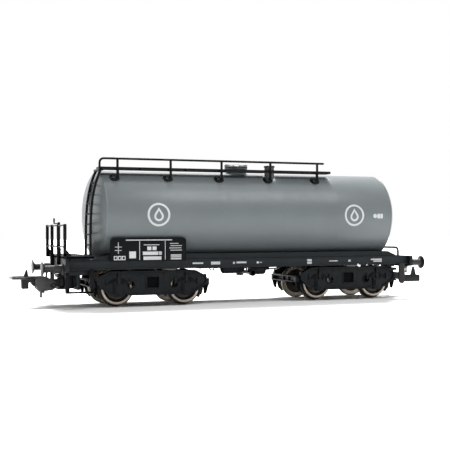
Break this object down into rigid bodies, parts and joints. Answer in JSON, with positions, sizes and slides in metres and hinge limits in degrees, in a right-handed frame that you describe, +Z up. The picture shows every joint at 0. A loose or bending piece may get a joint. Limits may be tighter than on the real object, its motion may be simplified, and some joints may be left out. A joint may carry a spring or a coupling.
{
  "type": "model railway tank wagon",
  "caption": "H0 scale model of a bogie tank wagon with a grey tank, black underframe, roof walkway, end ladder, brake platform and hook-and-loop couplers.",
  "frame": {"origin": "on the floor under the wheel flanges, midway between the buffer faces, on the centre line", "axes": "+X along the wagon towards the plain end (the brake platform is at -X), +Y across, +Z up"},
  "size_m": [0.1559, 0.034, 0.0497],
  "materials": {
    "tank_grey": "satin printed grey",
    "chassis_black": "satin black",
    "bogie_black": "satin black",
    "axle_steel": "turned",
    "wheel_metal": "burnished, brownish",
    "coupler_plastic": "satin black",
    "loop_metal": "blackened wire"
  },
  "bodies": {
    "wagon": {"tank": "tank_grey", "manhole": "tank_grey", "vent_dome": "tank_grey", "overflow_trays": "tank_grey", "walkway": "chassis_black", "walkway_brackets": "chassis_black", "handrail": "chassis_black", "ladder": "chassis_black", "cradle": "chassis_black", "side_sills": "chassis_black", "centre_sill": "chassis_black", "bolsters": "chassis_black", "cross_members": "chassis_black", "headstock_a": "chassis_black", "headstock_b": "chassis_black", "buffers_a": "chassis_black", "buffers_b": "chassis_black", "pivot_pins": "chassis_black", "platform_deck": "chassis_black", "platform_railing": "chassis_black", "handbrake": "chassis_black", "platform_steps": "chassis_black", "corner_steps": "chassis_black", "end_handle": "chassis_black", "air_hoses_a": "chassis_black", "air_hoses_b": "chassis_black", "number_boards": "chassis_black", "brake_cylinder": "chassis_black", "air_reservoir": "chassis_black", "outlet_valve": "chassis_black", "draft_box_a": "chassis_black", "draft_box_b": "chassis_black"},
    "bogie_a": {"bogie_a_frame": "bogie_black", "bogie_a_brakes": "bogie_black"},
    "bogie_b": {"bogie_b_frame": "bogie_black", "bogie_b_brakes": "bogie_black"},
    "wheelset_1": {"axle_1": "axle_steel", "wheels_1": "wheel_metal"},
    "wheelset_2": {"axle_2": "axle_steel", "wheels_2": "wheel_metal"},
    "wheelset_3": {"axle_3": "axle_steel", "wheels_3": "wheel_metal"},
    "wheelset_4": {"axle_4": "axle_steel", "wheels_4": "wheel_metal"},
    "coupler_a": {"coupler_a_hook": "coupler_plastic"},
    "coupler_b": {"coupler_b_hook": "coupler_plastic"},
    "loop_a": {"coupler_a_loop": "loop_metal"}
  },
  "joints": [
    {"name": "bogie_a_swivel", "type": "hinge", "parent": "wagon", "child": "bogie_a", "pos_m": [-0.03465, 0, 0.0125], "axis": [0, 0, 1], "range_deg": [-7, 7]},
    {"name": "bogie_b_swivel", "type": "hinge", "parent": "wagon", "child": "bogie_b", "pos_m": [0.03885, 0, 0.0125], "axis": [0, 0, 1], "range_deg": [-7, 7]},
    {"name": "wheelset_1_spin", "type": "hinge", "parent": "bogie_a", "child": "wheelset_1", "pos_m": [-0.04635, 0, 0.0062], "axis": [0, 1, 0], "continuous": true},
    {"name": "wheelset_2_spin", "type": "hinge", "parent": "bogie_a", "child": "wheelset_2", "pos_m": [-0.02295, 0, 0.0062], "axis": [0, 1, 0], "continuous": true},
    {"name": "wheelset_3_spin", "type": "hinge", "parent": "bogie_b", "child": "wheelset_3", "pos_m": [0.02715, 0, 0.0062], "axis": [0, 1, 0], "continuous": true},
    {"name": "wheelset_4_spin", "type": "hinge", "parent": "bogie_b", "child": "wheelset_4", "pos_m": [0.05055, 0, 0.0062], "axis": [0, 1, 0], "continuous": true},
    {"name": "coupler_a_swing", "type": "hinge", "parent": "wagon", "child": "coupler_a", "pos_m": [-0.0627, 0, 0.008], "axis": [0, 0, 1], "range_deg": [-10, 10]},
    {"name": "loop_a_lift", "type": "hinge", "parent": "coupler_a", "child": "loop_a", "pos_m": [-0.066, 0, 0.0074], "axis": [0, 1, 0], "range_deg": [0, 9]},
    {"name": "coupler_b_swing", "type": "hinge", "parent": "wagon", "child": "coupler_b", "pos_m": [0.0627, 0, 0.008], "axis": [0, 0, 1], "range_deg": [-10, 10]}
  ]
}
